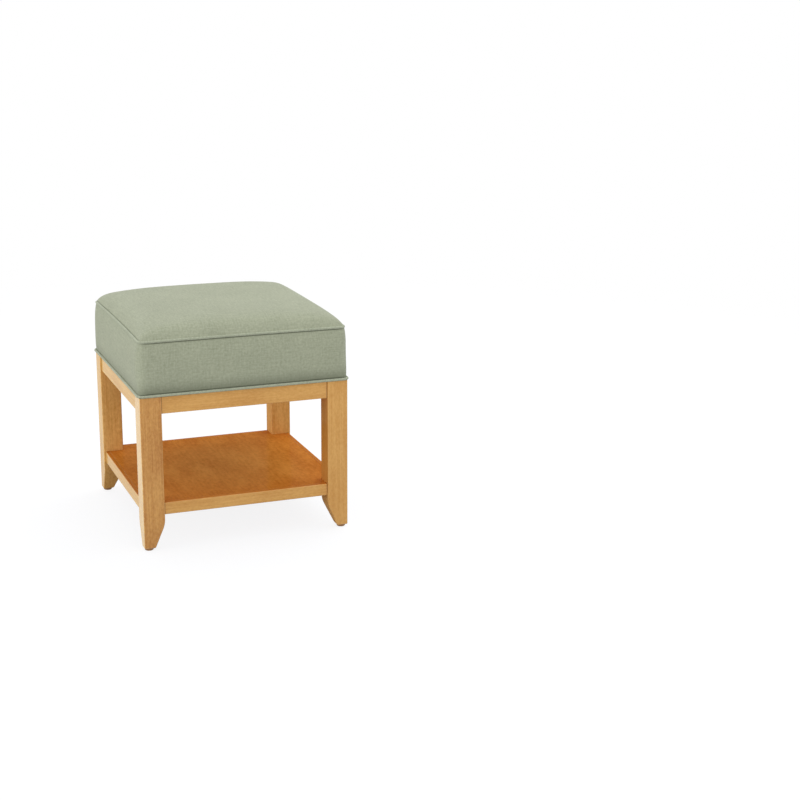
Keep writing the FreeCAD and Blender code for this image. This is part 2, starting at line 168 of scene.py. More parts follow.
def angle(name, description, degrees):
    return number(name, description, math.radians(degrees), subtype="ANGLE", unit="ROTATION")


def colour(name, description, *channels):
    return FloatVectorProperty(name=name, description=description, default=(*channels, 1.0),
                               subtype="COLOR", size=4, min=0.0, max=1.0)


class OttomanSeat(bpy.types.PropertyGroup):
    """Sizes and colours of the sewn seat."""
    welt_bite: length("Welt Bite", "How deep each cord sits in its seam", 0.0025)
    foot_tuck: length("Foot Tuck", "How far the walls roll in behind the lower cord", 0.0024)
    cord_tuck: length("Cord Tuck", "How far the top cord sinks in at its tight corners", 0.0015)
    seam_corner_radius: length("Seam Corner Radius", "Roundness of the seat's corners at both seams", 0.009)
    wall_corner_radius: length("Wall Corner Radius", "Roundness of the seat's upright corners", 0.028)
    side_fullness: length("Side Fullness", "How far the filling swells the walls past their pattern", 0.0015)
    top_draw_in: length("Top Draw-in", "How far the top seam pulls in between its corners", 0.003)
    foot_draw_in: length("Foot Draw-in", "How far the lower edge pulls in between its corners", 0.0006)
    corner_dip: length("Corner Dip", "How far the top seam is pulled down at each corner", 0.0005)
    crown_fill: length("Crown Fill", "How far the filling lifts the top past its pattern", 0.0045)
    crown_fullness: number("Crown Fullness", "Higher makes the top rise faster to a wider plateau", 10.2)
    crown_corner: number("Crown Corner", "Higher fills the top's corners further", 1.1)
    crown_dome: length("Crown Dome", "How much of the top's height is one slow dome", 0.0037)
    shoulder_power: number("Shoulder", "Higher keeps the walls upright closer to the top seam", 6.0)
    foot_power: number("Foot", "Higher keeps the walls upright closer to the lower cord", 7.0)
    swell_room: length("Swell Room", "How much smaller the cover is cut than it ends up", 0.003)
    swell_pressure: number("Swell Pressure", "Pressure of the filling on the cover", 2.5)
    swell_limit: length("Swell Limit", "The most that a point of the cover moves as it swells", 0.0032)
    corner_seam_depth: length("Corner Seam Depth", "How deep the upright corner seams pull in", 0.0003)
    thread_pitch: length("Thread Pitch", "Distance from thread to thread in the linen", 0.0013)
    linen_light: colour("Linen Light", "Colour of the linen's pale threads", 0.520, 0.553, 0.405)
    linen_dark: colour("Linen Dark", "Colour of the linen's deep threads", 0.305, 0.330, 0.230)
    # Paler than the linen's own threads, which paints a highlight along the cords
    welt_highlight: colour("Welt Highlight", "Colour of the cords' pale threads", 0.585, 0.632, 0.480)
    dust_sag: length("Dust Cover Sag", "How far the cloth under the seat hangs at its middle", 0.0025)
    dust_colour: colour("Dust Cloth", "Colour of the cloth under the seat", 0.022, 0.022, 0.024)


class OttomanWood(bpy.types.PropertyGroup):
    """Colours and gloss of the wooden base."""
    honey_light: colour("Honey Light", "Pale grain of the legs, rails and edge strips", 0.880, 0.508, 0.158)
    honey_dark: colour("Honey Dark", "Deep grain of the legs, rails and edge strips", 0.595, 0.260, 0.054)
    # Set richer than the legs' honey: painted light that makes up for the shade under the seat
    veneer_light: colour("Veneer Light", "Pale grain of the shelf", 0.97, 0.415, 0.084)
    veneer_dark: colour("Veneer Dark", "Deep grain of the shelf", 0.74, 0.256, 0.037)
    lacquer_roughness: share("Lacquer Roughness", "Satin of the base's clear lacquer", 0.16)
    shelf_roughness: share("Shelf Lacquer Roughness", "Gloss of the shelf's clear lacquer", 0.07)
    # The pale rubbed edges also stand in for highlights along the arrises: wear and painted highlight
    edge_wear: share("Edge Wear", "How pale the rubbed edges are", 0.5)


class OttomanStage(bpy.types.PropertyGroup):
    """Camera, lamps and floor."""
    camera_place: FloatVectorProperty(
        name="Camera Place", description="Where the camera stands", subtype="TRANSLATION",
        size=3, unit="LENGTH", default=(-0.8857, -3.2968, 1.1812))
    camera_heading: angle("Camera Heading", "Turn of the view from straight ahead towards the right", 21.96)
    camera_tilt: angle("Camera Tilt", "How far the view looks down", 15.24)
    camera_roll: angle("Camera Roll", "Lean of the view", 0.48)
    camera_lens: number("Camera Lens", "Focal length on a 36 mm frame", 69.89, unit="CAMERA")
    top_power: number("Top Power", "Strength of the large lamp overhead", 23.2, unit="POWER")
    side_power: number("Side Power", "Strength of the large lamp on the left", 19.0, unit="POWER")
    fill_power: number("Fill Power", "Strength of the large lamp in front", 14.5, unit="POWER")
    room_light: number("Room Light", "Strength of the even light from all round", 0.74)
    floor_radius: length("Floor Radius", "How far the pale floor reaches", 3.0)


# Small helpers for node trees

def math_node(operation, swapped=False):
    """A method of a wire that adds a Math node to its tree."""
    def method(self, *others):
        values = (*others, self) if swapped else (self, *others)
        return wire(self.tree, "ShaderNodeMath", dict(enumerate(values)), operation=operation)
    return method


class Wire:
    """A node's output, on which sums add Math nodes."""
    __add__ = math_node("ADD")
    __sub__ = math_node("SUBTRACT")
    __rsub__ = math_node("SUBTRACT", swapped=True)
    __mul__ = math_node("MULTIPLY")
    __rtruediv__ = math_node("DIVIDE", swapped=True)
    __pow__ = math_node("POWER")
    __abs__ = math_node("ABSOLUTE")
    sine = math_node("SINE")
    higher = math_node("MAXIMUM")
    lower = math_node("MINIMUM")

    def __init__(self, node, output=0):
        self.tree = node.id_data
        self.socket = node.outputs[output]


def feed(node, inputs):
    """Links or sets a node's inputs, given by name or number."""
    for key, value in inputs.items():
        if isinstance(value, Wire):
            value.tree.links.new(value.socket, node.inputs[key])
        else:
            node.inputs[key].default_value = value


def put(tree, kind, inputs=None, **settings):
    """A new node with its settings and inputs."""
    node = tree.nodes.new(kind)
    for key, value in settings.items():
        setattr(node, key, value)
    feed(node, inputs or {})
    return node


def wire(tree, kind, inputs=None, output=0, **settings):
    """One output of a new node."""
    return Wire(put(tree, kind, inputs, **settings), output)


def axes_of(vector):
    """The X, Y and Z of a vector."""
    node = put(vector.tree, "ShaderNodeSeparateXYZ", {0: vector})
    return [Wire(node, axis) for axis in range(3)]


def stretch(vector, scale):
    """The vector times a scale for each axis."""
    return wire(vector.tree, "ShaderNodeVectorMath", {0: vector, 1: scale}, operation="MULTIPLY")


def scaled(vector, factor):
    """The vector times one number."""
    return wire(vector.tree, "ShaderNodeVectorMath", {0: vector, "Scale": factor}, operation="SCALE")


def dot(first, second):
    """How far two vectors agree."""
    return wire(first.tree, "ShaderNodeVectorMath", {0: first, 1: second}, "Value", operation="DOT_PRODUCT")


def turned(vector, rotation):
    """The vector turned about the origin."""
    return wire(vector.tree, "ShaderNodeMapping", {"Vector": vector, "Rotation": rotation})


def noise(vector, scale, detail=2.0, roughness=0.5):
    """Noise from 0 to 1 on a vector stretched by a scale for each axis."""
    inputs = {"Vector": stretch(vector, scale), "Scale": 1.0, "Detail": detail, "Roughness": roughness}
    return wire(vector.tree, "ShaderNodeTexNoise", inputs)


def between(value, low, high, start=0.0, end=1.0):
    """The value's place between low and high, as a number from start to end, held at both ends."""
    inputs = {"Value": value, "From Min": low, "From Max": high, "To Min": start, "To Max": end}
    return wire(value.tree, "ShaderNodeMapRange", inputs, "Result", clamp=True)


def mixed(weight, first, second, way="MIX"):
    """Two colours mixed by a weight."""
    inputs = {0: weight, 6: first, 7: second}
    return wire(weight.tree, "ShaderNodeMix", inputs, 2, data_type="RGBA", blend_type=way)


def bump(height, strength, distance):
    """Normal bent by a height."""
    inputs = {"Height": height, "Strength": strength, "Distance": distance}
    return wire(height.tree, "ShaderNodeBump", inputs)


def object_places(tree):
    return wire(tree, "ShaderNodeTexCoord", output="Object")


def true_normal(tree):
    return wire(tree, "ShaderNodeNewGeometry", output="Normal")


def new_group(name, takes, gives, kind="ShaderNodeTree"):
    """An empty node group with named sockets, what it takes as wires, and its output node."""
    group = bpy.data.node_groups.new(name, kind)
    for way, sockets in (("INPUT", takes), ("OUTPUT", gives)):
        for label, value in sockets.items():
            group.interface.new_socket(label, in_out=way, socket_type="NodeSocket" + value)
    taken = group.nodes.new("NodeGroupInput")
    return group, {label: Wire(taken, label) for label in takes}, group.nodes.new("NodeGroupOutput")


def place_group(tree, name, maker, inputs):
    """Outputs of a shared shader node group, made the first time it is placed, with values of its own."""
    node = put(tree, "ShaderNodeGroup", inputs, node_tree=bpy.data.node_groups.get(name) or maker(name))
    return {output.name: Wire(node, output.name) for output in node.outputs}


def new_material(name, look, *values, **more):
    """A material whose look gives the inputs of its Principled shader."""
    material = bpy.data.materials.new(name)
    material.use_nodes = True
    tree = material.node_tree
    feed(tree.nodes["Principled BSDF"], look(tree, *values, **more))
    return material


# Small helpers for objects

def new_object(name, data):
    """An object at the origin of the scene."""
    made = bpy.data.objects.new(name, data)
    bpy.context.scene.collection.objects.link(made)
    return made


def paint_node(name, material):
    """Gives a node of the frame its finish."""
    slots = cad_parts[name].data.materials
    slots.clear()
    slots.append(material)


def new_piece(name, mesh, material):
    """A finished piece at the origin, which rides on the frame."""
    mesh.materials.clear()
    mesh.materials.append(material)
    mesh.shade_smooth()
    piece = new_object(name, mesh)
    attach(piece, "root")
    return piece


def plain_mesh(maker):
    """The mesh that an object's modifiers make, and the object removed."""
    bpy.context.view_layer.update()
    graph = bpy.context.evaluated_depsgraph_get()
    mesh = bpy.data.meshes.new_from_object(maker.evaluated_get(graph), depsgraph=graph)
    old = maker.data
    bpy.data.objects.remove(maker)
    bpy.data.meshes.remove(old)
    return mesh


# Shared surface effects

def linen_weave_group(name):
    """Plain weave of uneven threads on a flat map in metres."""
    group, taken, given = new_group(
        name, {"Map": "Vector", "Pitch": "Float", "Light": "Color", "Dark": "Color"},
        {"Color": "Color", "Height": "Float", "Fuzz": "Float"})
    threads = scaled(taken["Map"], 1.0 / taken["Pitch"])
    x, y, _ = axes_of(threads)
    sway = (noise(threads, (0.11, 0.11, 0.0)) - 0.5) * 1.6
    over = ((x + sway) * math.pi).sine() * ((y - sway) * math.pi).sine()
    crest = abs(over) ** 0.5
    warp = noise(threads, (0.55, 0.035, 0.0), 3.0, 0.65)
    weft = noise(threads, (0.03, 0.6, 0.0), 3.0, 0.65)
    on_top = between(over, -0.25, 0.25)
    slub = wire(group, "ShaderNodeMix", {0: on_top, 2: weft, 3: warp}, data_type="FLOAT")
    blotch = noise(threads, (0.26, 0.26, 0.0), 2.0, 0.6)
    cloud = noise(threads, (0.012, 0.012, 0.0), 3.0)
    tone = (slub - 0.5) * 1.7 + (crest - 0.6) * 0.36
    tone = tone + (blotch - 0.5) * 1.05 + (cloud - 0.5) * 0.4 + 0.5
    thickness = between(slub, 0.2, 0.8, 0.55, 1.0)
    feed(given, {"Color": mixed(tone, taken["Dark"], taken["Light"]),
                 "Height": crest * thickness, "Fuzz": noise(threads, (1.7, 1.7, 0.0), 3.0, 0.7)})
    return group


def maple_grain_group(name):
    """Close straight grain along Z, with soft growth rings, mottling and short flecks."""
    group, taken, given = new_group(
        name, {"Place": "Vector", "Light": "Color", "Dark": "Color",
               "Streaks": "Float", "Mottling": "Float", "Fineness": "Float"},
        {"Color": "Color", "Height": "Float", "Mottle": "Float"})
    place = taken["Place"]
    flattened = stretch(place, (1.0, 1.0, 0.06))
    from_pith = wire(group, "ShaderNodeVectorMath", {0: flattened, 1: PITH}, "Value", operation="DISTANCE")
    rings = from_pith * (2 * math.pi / RING_WIDTH) + noise(place, (16.0, 16.0, 2.2), 3.0) * 13.0
    rings = (rings.sine() * 0.5 + 0.5) ** 1.6
    fibre = noise(place, (620.0, 620.0, 9.0), 3.0, 0.6)
    streak = noise(place, (120.0, 120.0, 3.0))
    mottle = noise(place, (24.0, 24.0, 10.0), 3.0, 0.55)
    dapple = noise(scaled(place, taken["Fineness"]), (240.0, 240.0, 120.0), 2.0, 0.65)
    fibres = (fibre - 0.5) * 2.1 + (streak - 0.5)
    spots = (dapple - 0.5) * 1.2 + (mottle - 0.5)
    tone = fibres * taken["Streaks"] + spots * taken["Mottling"] - (rings - 0.5) * 0.10 + 0.52
    shade = mixed(tone, taken["Dark"], taken["Light"])
    fleck = between(noise(place, (1500.0, 1500.0, 70.0), 1.0), 0.66, 0.76, 0.0, 0.28)
    feed(given, {"Color": mixed(fleck, shade, taken["Dark"]),
                 "Height": fibre - fleck * 1.5, "Mottle": mottle})
    return group


def edge_wear_and_highlight_group(name):
    """Mask of rubbed edges, which also places painted highlights along them: where the rounded normal leaves
    the true one, broken up by noise.
    """
    group, taken, given = new_group(name, {"Place": "Vector", "Width": "Float"}, {"Mask": "Float"})
    rounded = wire(group, "ShaderNodeBevel", {"Radius": taken["Width"]}, samples=4)
    edge = between(dot(rounded, true_normal(group)), 0.995, 0.86)
    patches = between(noise(taken["Place"], (55.0, 55.0, 55.0), 4.0, 0.65), 0.30, 0.60)
    feed(given, {"Mask": edge * patches})
    return group


# Finishes

def linen(tree, seat, light, rotation):
    """Sage linen on a piece's own flat map, pulled into small dimples along its seams, with painted shade
    along its seams and above the lower cord.
    """
    flat_map = wire(tree, "ShaderNodeUVMap", uv_map="UVMap")
    weave = place_group(tree, "Linen Weave", linen_weave_group, {
        "Map": turned(flat_map, rotation), "Pitch": seat.thread_pitch,
        "Light": tuple(light), "Dark": tuple(seat.linen_dark)})
    seam = wire(tree, "ShaderNodeAttribute", output="Fac", attribute_name="seam_near")
    foot_shading = wire(tree, "ShaderNodeAttribute", output="Fac", attribute_name="foot_painted_shade")
    pulls = noise(flat_map, (95.0, 95.0, 0.0), 1.0) * between(seam, 0.0, PULL_REACH, 1.0, 0.0)
    fuzz = weave["Fuzz"]
    height = pulls * 3.0 + weave["Height"] + fuzz * 0.35
    # Painted shade: the cloth darkens towards the lower cord
    shade = mixed(foot_shading, weave["Color"], FOOT_SHADE_COLOUR)
    # Painted shade in a band along the seams under the cords
    shade = mixed(between(seam, *SEAM_SHADE_REACH, 0.9, 0.0), shade, SEAM_SHADE_COLOUR)
    return {"Base Color": shade, "Roughness": between(fuzz, 0.3, 0.7, 0.82, 0.95),
            "Normal": bump(height, 0.55, 0.0006), "Specular IOR Level": 0.25,
            "Sheen Weight": 0.15, "Sheen Roughness": 0.45}


def toned(base, tone):
    """A colour made darker or paler as by a thicker or thinner stain, which takes more green than red and
    most of all blue; on the wood it also carries painted light and shade.
    """
    red, green, blue = base[:3]
    return red * tone, green * tone ** 1.7, blue * tone ** 2.8, 1.0


def tone_masks(tree, place):
    """Masks of faces by where they look, out, sideways or up, with the inner sides only above the shelf, and
    of the shelf's rim and the rails' ends, for the wood's painted light and shade.
    """
    facing = true_normal(tree)
    out = dot(stretch(facing, (1.0, 1.0, 0.0)), place)
    outward, inward = between(out, 0.004, 0.03), between(out, -0.004, -0.03)
    x, _, z = axes_of(facing)
    sideways, upward = between(abs(x), 0.5, 0.9), between(z, 0.5, 0.9)
    across, along, height = axes_of(place)
    above_shelf = between(height, SHELF_LOW.z, SHELF_HIGH.z)
    rim = between(abs(across).higher(abs(along)), 0.3 * SHELF_HIGH.x, SHELF_HIGH.x)
    joint = between(abs(across).lower(abs(along)), LEG_INNER - JOINT_WIDTH, LEG_INNER - 0.3 * JOINT_WIDTH)
    return outward, outward * sideways, inward * sideways * above_shelf, upward, rim, joint


def maple(tree, light, dark, rotation, lacquer, coats, wear, figure,
          side_painted_tone=1.0, inner_painted_tone=1.0, burst_tone=1.0, top_tint=PLAIN, joint_dark=0.0):
    """Stained maple under clear lacquer, thinner on the inner faces, with its grain along the piece and
    painted light and shade on its sides, rim, edges and joints.
    """
    place = object_places(tree)
    grain = place_group(tree, "Maple Grain", maple_grain_group, {
        "Place": turned(place, rotation), "Light": light, "Dark": dark, **figure})
    outward, side_out, side_in, upward, rim, joint = tone_masks(tree, place)
    shade = grain["Color"]
    # Painted light and shade: a sheen on the outer sides, shade on the inner sides above the shelf and at the
    # shelf's rim
    for mask, tint in ((side_out, toned(PAINTED_SIDE_SHEEN, side_painted_tone)), (side_in, toned(PLAIN, inner_painted_tone)),
                       (upward, (*top_tint, 1.0)), (rim, toned(PLAIN, burst_tone))):
        shade = mixed(mask, shade, tint, "MULTIPLY")
    rubbed_and_lit = place_group(tree, "Edge Wear", edge_wear_and_highlight_group, {"Place": place, "Width": WEAR_AND_HIGHLIGHT_WIDTH})
    worn_and_lit = rubbed_and_lit["Mask"] * wear
    # Pale rubbed edges, which also paint highlights along the arrises
    shade = mixed(worn_and_lit, shade, PALE_EDGE)
    # Painted shade at the rails' ends, where the legs shade them
    shade = mixed(joint * joint_dark, shade, JOINT_SHADE_COLOUR)
    rough = between(grain["Mottle"], 0.3, 0.7, 0.30, 0.42) + worn_and_lit * 0.25
    clear = between(outward, 0.0, 1.0, *coats) * (1.0 - worn_and_lit)
    return {"Base Color": shade, "Roughness": rough, "Coat Weight": clear, "Coat Roughness": lacquer,
            "Normal": bump(grain["Height"], 0.12, 0.0004), "Specular IOR Level": 0.0}


def bare_grain(tree, place, light, dark):
    """Grain of unfinished wood that lies sideways."""
    return place_group(tree, "Maple Grain", maple_grain_group, {
        "Place": turned(place, SIDEWAYS), "Light": light, "Dark": dark, **PLAIN_FIGURE})


def raw_wood(tree, light, dark):
    """Bare wood of a hidden brace or dowel."""
    grain = bare_grain(tree, object_places(tree), light, dark)
    return {"Base Color": grain["Color"], "Normal": bump(grain["Height"], 0.35, 0.0006),
            "Roughness": between(grain["Mottle"], 0.3, 0.7, 0.6, 0.8)}


def plywood(tree):
    """Birch plywood: bands of plies on its edges, grain on its faces."""
    place = object_places(tree)
    grain = bare_grain(tree, place, (0.72, 0.55, 0.36, 1.0), (0.55, 0.38, 0.22, 1.0))
    plies = (axes_of(place)[2] * (2 * math.pi / PLY_PAIR)).sine()
    shade = mixed(between(plies, 0.2, 0.5, 0.0, 0.55), grain["Color"], (0.33, 0.20, 0.10, 1.0))
    return {"Base Color": shade, "Normal": bump(grain["Height"], 0.3, 0.0005), "Roughness": 0.75}


def zinc_steel(tree):
    """Bright zinc plate, a little brushed and clouded."""
    place = object_places(tree)
    cloud = noise(place, (420.0, 420.0, 420.0), 3.0)
    scratch = noise(place, (2600.0, 2600.0, 400.0))
    return {"Base Color": mixed(cloud, (0.50, 0.51, 0.52, 1.0), (0.74, 0.74, 0.72, 1.0)),
            "Roughness": between(cloud, 0.3, 0.7, 0.24, 0.42),
            "Normal": bump(scratch, 0.15, 0.0001), "Metallic": 1.0}


def glide_plastic(tree):
    """Brown moulded plastic, scuffed pale where it slides."""
    place = object_places(tree)
    fine = noise(place, (900.0, 900.0, 900.0))
    low = between(axes_of(place)[2], 0.0, SCUFF_HEIGHT, 1.0, 0.0)
    scuffs = low * between(noise(place, (260.0, 900.0, 260.0), 3.0), 0.45, 0.65)
    shade = mixed(fine, (0.30, 0.145, 0.048, 1.0), (0.40, 0.205, 0.080, 1.0))
    return {"Base Color": mixed(scuffs * 0.5, shade, (0.46, 0.36, 0.25, 1.0)),
            "Roughness": between(scuffs, 0.0, 1.0, 0.38, 0.7), "Normal": bump(fine, 0.2, 0.0002)}


def dust_cloth(tree, dark):
    """Thin black bonded cloth with its press of small dots."""
    place = object_places(tree)
    felt = (noise(place, (700.0, 240.0, 0.0), 4.0, 0.7) + noise(place, (240.0, 700.0, 0.0), 4.0, 0.7)) * 0.5
    x, y, _ = axes_of(stretch(place, (math.pi / DOT_PITCH,) * 3))
    pressed = between(abs(x.sine() * y.sine()), 0.55, 0.8)
    pale = tuple(min(1.0, 3.2 * channel) for channel in dark[:3]) + (1.0,)
    shade = mixed(between(felt, 0.35, 0.65), dark, pale)
    return {"Base Color": mixed(pressed * 0.55, shade, dark),
            "Roughness": between(felt, 0.3, 0.7, 0.75, 0.95),
            "Normal": bump(felt - pressed * 0.6, 0.5, 0.0004)}


# The sewn seat

def crowded_steps(count):
    """Places from -1 to 1 that lie closer together towards both ends."""
    even = np.linspace(-1.0, 1.0, count + 1)
    return (1.0 - EDGE_CROWDING) * even + EDGE_CROWDING * np.sin(even * math.pi / 2)


def plan_places(across, along, half, radius, draw_in):
    """Plan of grid shares from -1 to 1 on a square with round corners and drawn-in sides."""
    x = across * (half - draw_in * (1.0 - along ** 2) * across ** 2)
    y = along * (half - draw_in * (1.0 - across ** 2) * along ** 2)
    straight = half - radius
    past_x, past_y = (np.clip((np.abs(place) - straight) / radius, 0.0, 1.0) for place in (x, y))

    def rounded(place, past, other):
        reach = np.minimum(np.abs(place), straight) + radius * past * np.sqrt(1.0 - other ** 2 / 2)
        return np.sign(place) * reach

    return rounded(x, past_x, past_y), rounded(y, past_y, past_x)


def inset_share(from_side, from_end, squareness):
    """How far inside a panel a place lies, from 0 at its seams to 1 at its middle."""
    both = (from_side ** squareness + from_end ** squareness) ** (1.0 / squareness)
    return np.minimum(1.0, 2 ** (1.0 / squareness) * from_side * from_end / np.maximum(both, 1e-9))


def ring_of(count):
    """Row and column of each grid point round a square panel, from its front left corner."""
    steps = np.arange(count)
    sides = [np.zeros(count, int), steps, np.full(count, count), count - steps]
    return np.concatenate(sides), np.concatenate(sides[1:] + sides[:1])


def run_lengths(points, axis):
    """Length along each grid line of a panel, from its start."""
    steps = np.linalg.norm(np.diff(points, axis=axis), axis=2)
    start = np.zeros_like(np.take(steps, [0], axis=axis))
    return np.cumsum(np.concatenate([start, steps], axis=axis), axis=axis)


def quads_of(grid, turn=1):
    """What a grid holds at the four corners of each of its quads, in order, or backwards."""
    corners = [grid[:-1, :-1], grid[:-1, 1:], grid[1:, 1:], grid[1:, :-1]]
    return np.stack(corners[::turn], axis=2).reshape(-1, 4, *grid.shape[2:])


class Cover:
    """The seat's cover as it is cut: points and faces of its top, walls and underside."""

    def __init__(self, seat):
        stand = WELT_DIAMETER - seat.welt_bite
        self.seam_half = TOP_WELT_HIGH.x - stand
        self.foot_half = BOTTOM_WELT_HIGH.x - stand - seat.foot_tuck
        self.seat = seat
        steps = crowded_steps(PANEL_STEPS)
        self.across, self.along = np.meshgrid(steps, steps)
        self.rows, self.columns = ring_of(PANEL_STEPS)
        self.corner_share = (self.across * self.along) ** CORNER_POWER
        self.top = self.top_panel()
        self.base = self.underside()
        self.walls = self.wall()
        self.number_points()

    def round_panel(self, grid):
        """What a panel's grid holds at each point round it."""
        return grid[self.rows, self.columns]

    def top_panel(self):
        seat = self.seat
        x, y = plan_places(self.across, self.along, self.seam_half, seat.seam_corner_radius, seat.top_draw_in)
        inside = inset_share(1.0 - np.abs(self.across), 1.0 - np.abs(self.along), seat.crown_corner)
        rise = CROWN_TOP + seat.crown_fill - TOP_SEAM_HEIGHT - seat.swell_room - seat.crown_dome
        z = TOP_SEAM_HEIGHT - seat.corner_dip * self.corner_share
        z += rise * (1.0 - (1.0 - inside) ** seat.crown_fullness)
        z += seat.crown_dome * (1.0 - self.across ** 2) * (1.0 - self.along ** 2)
        return np.stack([x, y, z], axis=2)

    def underside(self):
        radius, draw_in = self.seat.seam_corner_radius, self.seat.foot_draw_in
        x, y = plan_places(self.across, self.along, self.foot_half, radius, draw_in)
        return np.stack([x, y, np.full_like(x, SEAT_BOTTOM)], axis=2)

    def wall(self):
        """Rings of points from the lower seam up to the top one."""
        seat = self.seat
        across, along = self.round_panel(self.across), self.round_panel(self.along)
        dip = seat.corner_dip * self.round_panel(self.corner_share)
        belly = BELLY_HALF + seat.side_fullness - seat.swell_room / 2
        corner_growth = seat.wall_corner_radius - seat.seam_corner_radius
        rings = []
        for height in (1.0 + crowded_steps(WALL_STEPS)) / 2:
            radius = seat.seam_corner_radius + corner_growth * math.sin(math.pi * height) ** WALL_ROUNDING
            half = belly - (belly - self.seam_half) * height ** seat.shoulder_power
            half -= (belly - self.foot_half) * (1.0 - height) ** seat.foot_power
            draw_in = seat.foot_draw_in + (seat.top_draw_in - seat.foot_draw_in) * height
            x, y = plan_places(across, along, half, radius, draw_in)
            z = BOTTOM_SEAM_HEIGHT + (TOP_SEAM_HEIGHT - BOTTOM_SEAM_HEIGHT) * height
            rings.append(np.stack([x, y, z - dip * height ** 3], axis=1))
        return np.stack(rings)

    def number_points(self):
        """Point numbers: the top, the underside, then each ring of the walls below the top seam."""
        side = PANEL_STEPS + 1
        round_count = 4 * PANEL_STEPS
        self.top_index = np.arange(side * side).reshape(side, side)
        self.base_index = self.top_index + side * side
        rings = 2 * side * side + np.arange(WALL_STEPS * round_count).reshape(WALL_STEPS, round_count)
        self.wall_index = np.concatenate([self.round_panel(self.base_index)[None], rings,
                                          self.round_panel(self.top_index)[None]])

    def points(self):
        lower_rings = self.walls[:-1].reshape(-1, 3)
        return np.concatenate([self.top.reshape(-1, 3), self.base.reshape(-1, 3), lower_rings])

    def faces_and_maps(self):
        """Quads with their outward turn, and each quad's corners on the flat map of its panel."""
        faces, maps = [], []
        for index, points, turn in ((self.top_index, self.top, 1), (self.base_index, self.base, -1)):
            wide = run_lengths(points, 1) - run_lengths(points, 1)[:, -1:] / 2
            deep = run_lengths(points, 0) - run_lengths(points, 0)[-1:] / 2
            faces.append(quads_of(index, turn))
            maps.append(quads_of(np.stack([wide, deep], axis=2), turn))
        belt = self.walls[WALL_STEPS // 2]
        gaps = np.linalg.norm(np.roll(belt, -1, axis=0) - belt, axis=1)
        post = np.concatenate([self.round_panel(self.base)[None], self.walls])[:, PANEL_STEPS // 2]
        rises = np.linalg.norm(np.diff(post, axis=0), axis=1)
        along, up = (np.concatenate([[0.0], np.cumsum(steps)]) for steps in (gaps, rises))
        faces.append(quads_of(np.concatenate([self.wall_index, self.wall_index[:, :1]], axis=1)))
        maps.append(quads_of(np.stack(np.meshgrid(along, up), axis=2)))
        return np.concatenate(faces), np.concatenate(maps)

    def seam_distance(self):
        """Distance of each point from the nearest seam, along the cloth."""
        near = np.full(len(self.points()), 1.0)
        # The starts set where the painted seam shade begins, apart for the front and back and for the sides
        for axis in (0, 1):
            run = run_lengths(self.top, axis)
            whole = np.take(run, [-1], axis=axis)
            near[self.top_index] = np.minimum(near[self.top_index],
                                              np.minimum(run, whole - run) + TOP_SEAM_SHADE_STARTS[axis])
        z = self.points()[self.wall_index[:-1]][:, :, 2]
        start = np.interp(self.side_share(), (0.0, 1.0), WALL_SEAM_SHADE_STARTS)
        to_seam = np.minimum(np.abs(z - BOTTOM_SEAM_HEIGHT), np.abs(TOP_SEAM_HEIGHT - z))
        near[self.wall_index[:-1]] = to_seam + start
        return near

    def side_share(self):
        """0 for each point round the walls on the front or back, easing at the corners to 1 on the sides."""
        belt = np.abs(self.walls[WALL_STEPS // 2])
        return np.clip(0.5 + (belt[:, 0] - belt[:, 1]) / CORNER_EASE, 0.0, 1.0)

    def painted_foot_shade(self):
        """How much painted shade darkens the walls' cloth above the lower cord, from 0 to 1."""
        shade = np.zeros(len(self.points()))
        height = self.points()[self.wall_index][:, :, 2] - BOTTOM_SEAM_HEIGHT
        most = np.interp(self.side_share(), (0.0, 1.0), FOOT_SHADE_DEPTHS)
        shade[self.wall_index] = most * np.clip(1.0 - height / FOOT_SHADE_REACH, 0.0, 1.0) ** FOOT_SHADE_FADE
        return shade

    def sewn_points(self):
        """Points that the seams and the deck hold still."""
        return np.unique(np.concatenate([self.wall_index[-1], self.wall_index[1], self.base_index.ravel()]))


def keep_values(mesh, name, domain, values):
    """Stores a number for each point or edge of a mesh."""
    kept = mesh.attributes.new(name, "FLOAT", domain)
    kept.data.foreach_set("value", values.astype(np.float32))


def cover_mesh(cover):
    """The cut cover as a mesh with its flat map, its seam distances and its creased seams."""
    faces, maps = cover.faces_and_maps()
    mesh = bpy.data.meshes.new("seat_cover")
    mesh.from_pydata(cover.points().tolist(), [], faces.tolist())
    mesh.uv_layers.new(name="UVMap").data.foreach_set("uv", maps.astype(np.float32).ravel())
    # Distance to the seams, for the small pulls and the painted seam shade
    keep_values(mesh, "seam_near", "POINT", cover.seam_distance())
    # Share of painted shade above the lower cord
    keep_values(mesh, "foot_painted_shade", "POINT", cover.painted_foot_shade())
    creased = np.zeros(len(mesh.edges))
    for ring in (cover.wall_index[1], cover.wall_index[-1]):
        creased[np.isin(edge_ends(mesh), ring).all(axis=1)] = 1.0
    keep_values(mesh, "crease_edge", "EDGE", creased)
    return mesh


def values_of(items, key, width, kind):
    """What each point or edge of a mesh holds, as rows."""
    flat = np.empty(width * len(items), dtype=kind)
    items.foreach_get(key, flat)
    return flat.reshape(-1, width)


def edge_ends(mesh):
    """The two point numbers of each edge."""
    return values_of(mesh.edges, "vertices", 2, np.int32)


